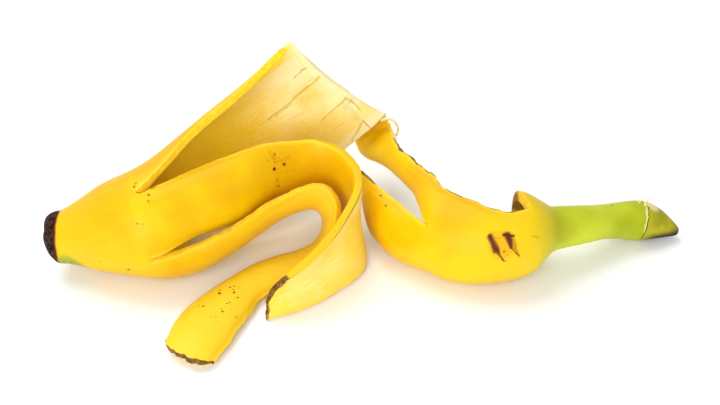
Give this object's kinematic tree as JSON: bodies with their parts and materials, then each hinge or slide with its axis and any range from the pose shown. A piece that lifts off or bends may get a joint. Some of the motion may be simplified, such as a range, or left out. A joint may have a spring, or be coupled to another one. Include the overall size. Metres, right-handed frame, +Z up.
{
  "type": "banana peel",
  "caption": "Empty banana peel torn into curling strips, open cone at the blossom end, hooded neck and stem, resting on a table",
  "frame": {"origin": "on the table under the middle of the bounding box", "axes": "+X runs from the blossom scar towards the stem, +Y points to the tall strip behind, +Z is up"},
  "size_m": [0.2084, 0.1064, 0.0605],
  "materials": {
    "peel": "soft waxy yellow peel, cream and fibrous inside, brown at the blossom scar and torn ends"
  },
  "bodies": {
    "root": {"banana_peel": "peel"}
  },
  "joints": []
}
